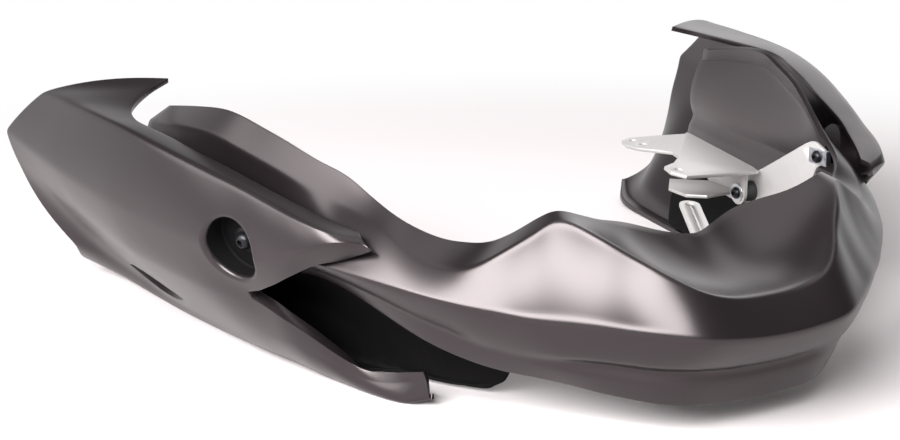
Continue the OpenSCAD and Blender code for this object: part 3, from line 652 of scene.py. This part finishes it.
def makeWings():
    gap = sum(wing["bandCells"][:wing["outletBand"]])
    start = wing["outletStation"] * wing["spanCells"]
    grid = softenGrid(wingGrid(), wing, gap, start)
    walls = wingWalls(grid, gap, start)
    shell = roundedRim(shellMesh("wing shell", grid, walls, gap, start))
    shell = cutMesh(shell, [wellCutter(), slitCutter()])
    cupPoints, cupFaces = wellCup(grid)
    both = bmesh.new()
    both.from_mesh(shell)
    corners = [both.verts.new(p) for p in cupPoints]
    bands = len(cupFaces) // well["sides"]
    for index, face in enumerate(cupFaces):
        made = both.faces.new([corners[i] for i in face])
        # below its rolled rim the well's wall, floor and bore take the near-black plastic:
        # painted shade inside the well, which is the same moulding as the wing
        belowRoll = index % bands - well["rollSteps"]
        made.material_index = int(0 <= belowRoll < well["shadedBands"])
    bmesh.ops.recalc_face_normals(both, faces=both.faces)
    both.to_mesh(shell)
    both.free()
    smoothFaces(shell)
    for name, skin, node in (("rightWingSkin", shell, "right_wing"),
                             ("leftWingSkin", mirroredMesh(shell, "left wing"), "left_wing")):
        addPiece(name, skin, "moulded_abs", node)
        # the wing's second slot: the near-black plastic, painted shade inside the well
        skin.materials.append(materials["black_plastic"])


def makeNose():
    grid = softenGrid(noseGrid(), nose)
    shell = roundedRim(shellMesh("nose shell", grid, nose["wallMm"]))
    smoothFaces(shell)
    addPiece("noseSkin", shell, "moulded_abs", "nose_moulding")


makeWings()
makeNose()
print("moulding skins made")

# The room: pale paper on the floor and sweeping up behind, and little light from elsewhere
room = {
    "floorColour": "#c8c2c3",
    "floorRoughness": 0.9,
    "floorHalfWidth": 6.0,
    "floorLitRadius": (0.45, 0.8),  # inside it the floor shows its own light and shadow
    "worldColour": "#ffffff",
    "sweepDirection": (0.24, 0.97, 0.0),
    "sweepEdges": (0.2, 0.65),  # cosine of the turn from its middle over which it ends
    "sweepHeights": (0.25, 0.6),  # sine of the height over which it ends
    "roomLight": 0.08,
    "whiteLight": 1.0,
}
# One strong lamp in front on the left, and weak ones at the rear, at the left and overhead
lamps = {
    "big softbox": {"watts": 165.0, "size": (2.0, 1.1), "place": (-1.55, -0.95, 1.25)},
    "rear softbox": {"watts": 8.0, "size": (1.2, 1.2), "place": (1.3, 0.9, 1.1)},
    "side softbox": {"watts": 16.0, "size": (1.0, 1.0), "place": (-1.83, 0.45, 0.7)},
    "ceiling softbox": {"watts": 12.0, "size": (1.6, 1.6), "place": (0.0, 0.0, 2.0)},
}
lampAim = (0.0, 0.0, 0.05)


def seenRays(tree, mirrored):
    # 1 for rays that look at the background, straight or by way of gloss and glass
    path = addNode(tree, "ShaderNodeLightPath")
    seen = path.outputs["Is Camera Ray"]
    for kind in ("Is Glossy Ray", "Is Transmission Ray") if mirrored else ():
        seen = addNode(tree, "ShaderNodeMath", settings={"operation": "MAXIMUM"},
                       links={0: seen, 1: path.outputs[kind]}).outputs[0]
    return seen


def makeFloor():
    half = room["floorHalfWidth"]
    mesh = bpy.data.meshes.new("floor")
    mesh.from_pydata([(-half, -half, 0), (half, -half, 0), (half, half, 0), (-half, half, 0)],
                     [], [(0, 1, 2, 3)])
    floor = addObject("floor", mesh)
    material, tree = newMaterial("matte white paper")
    lit = addNode(tree, "ShaderNodeBsdfPrincipled",
                  values={"Base Color": hexColour(room["floorColour"]),
                          "Roughness": room["floorRoughness"]})
    # far from the pan the paper is plain white
    coords = addNode(tree, "ShaderNodeTexCoord")
    distance = addNode(tree, "ShaderNodeVectorMath", settings={"operation": "LENGTH"},
                       links={0: coords.outputs["Object"]})
    inner, outer = room["floorLitRadius"]
    fade = addNode(tree, "ShaderNodeMapRange", settings={"interpolation_type": "SMOOTHSTEP"},
                   values={"From Min": inner, "From Max": outer},
                   links={"Value": distance.outputs["Value"]})
    seen = addNode(tree, "ShaderNodeMath", settings={"operation": "MULTIPLY"},
                   links={0: fade.outputs[0], 1: seenRays(tree, True)})
    white = addNode(tree, "ShaderNodeEmission", values={"Strength": room["whiteLight"]})
    mixed = addNode(tree, "ShaderNodeMixShader",
                    links={"Fac": seen.outputs[0], 1: lit.outputs[0], 2: white.outputs[0]})
    finishMaterial(tree, mixed)
    mesh.materials.append(material)


def makeLamp(name, values):
    data = bpy.data.lights.new(name, "AREA")
    data.energy = values["watts"]
    data.shape = "RECTANGLE"
    data.size, data.size_y = values["size"]
    lamp = addObject(name, data)
    lamp.location = values["place"]
    direction = Vector(lampAim) - lamp.location
    lamp.rotation_mode = "QUATERNION"
    lamp.rotation_quaternion = direction.to_track_quat("-Z", "Y")


def makeWorld():
    world = bpy.data.worlds.new("white room")
    bpy.context.scene.world = world
    world.use_nodes = True
    tree = world.node_tree
    tree.nodes.clear()
    coords = addNode(tree, "ShaderNodeTexCoord")
    height = addNode(tree, "ShaderNodeSeparateXYZ", links={0: coords.outputs["Generated"]})
    turn = addNode(tree, "ShaderNodeVectorMath", settings={"operation": "DOT_PRODUCT"},
                   values={1: room["sweepDirection"]}, links={0: coords.outputs["Generated"]})
    fades = [addNode(tree, "ShaderNodeMapRange", settings={"interpolation_type": "SMOOTHSTEP"},
                     values={"From Min": low, "From Max": high, "To Min": first, "To Max": last},
                     links={"Value": source})
             for source, (low, high), first, last in (
                 (turn.outputs["Value"], room["sweepEdges"], 0, 1),
                 (height.outputs["Z"], room["sweepHeights"], 1, 0))]
    both = addNode(tree, "ShaderNodeMath", settings={"operation": "MULTIPLY"},
                   links={0: fades[0].outputs[0], 1: fades[1].outputs[0]})
    # the camera sees white all round, gloss and glass see it only where the paper sweeps up
    mirrored = addNode(tree, "ShaderNodeMath", settings={"operation": "MULTIPLY"},
                       links={0: both.outputs[0], 1: seenRays(tree, True)})
    seen = addNode(tree, "ShaderNodeMath", settings={"operation": "MAXIMUM"},
                   links={0: mirrored.outputs[0], 1: seenRays(tree, False)})
    light, sweep = (addNode(tree, "ShaderNodeBackground",
                            values={"Color": hexColour(room["worldColour"]),
                                    "Strength": strength})
                    for strength in (room["roomLight"], room["whiteLight"]))
    mixed = addNode(tree, "ShaderNodeMixShader",
                    links={"Fac": seen.outputs[0], 1: light.outputs[0], 2: sweep.outputs[0]})
    addNode(tree, "ShaderNodeOutputWorld", links={"Surface": mixed.outputs[0]})


viewpoint = {
    "place": (-0.6414, -1.0381, 0.3957),
    "direction": (0.46694, 0.84413, -0.26347),
    "lensMm": 84.0,
    "nearest": 0.01,
}


def makeCamera():
    data = bpy.data.cameras.new("camera")
    data.lens = viewpoint["lensMm"]
    data.clip_start = viewpoint["nearest"]
    camera = addObject("camera", data)
    camera.location = viewpoint["place"]
    camera.rotation_mode = "QUATERNION"
    camera.rotation_quaternion = Vector(viewpoint["direction"]).to_track_quat("-Z", "Y")
    bpy.context.scene.camera = camera


makeCamera()
makeFloor()
for lampName, lampValues in lamps.items():
    makeLamp(lampName, lampValues)
makeWorld()
bpy.context.scene.view_settings.view_transform = "Standard"
print("room made")
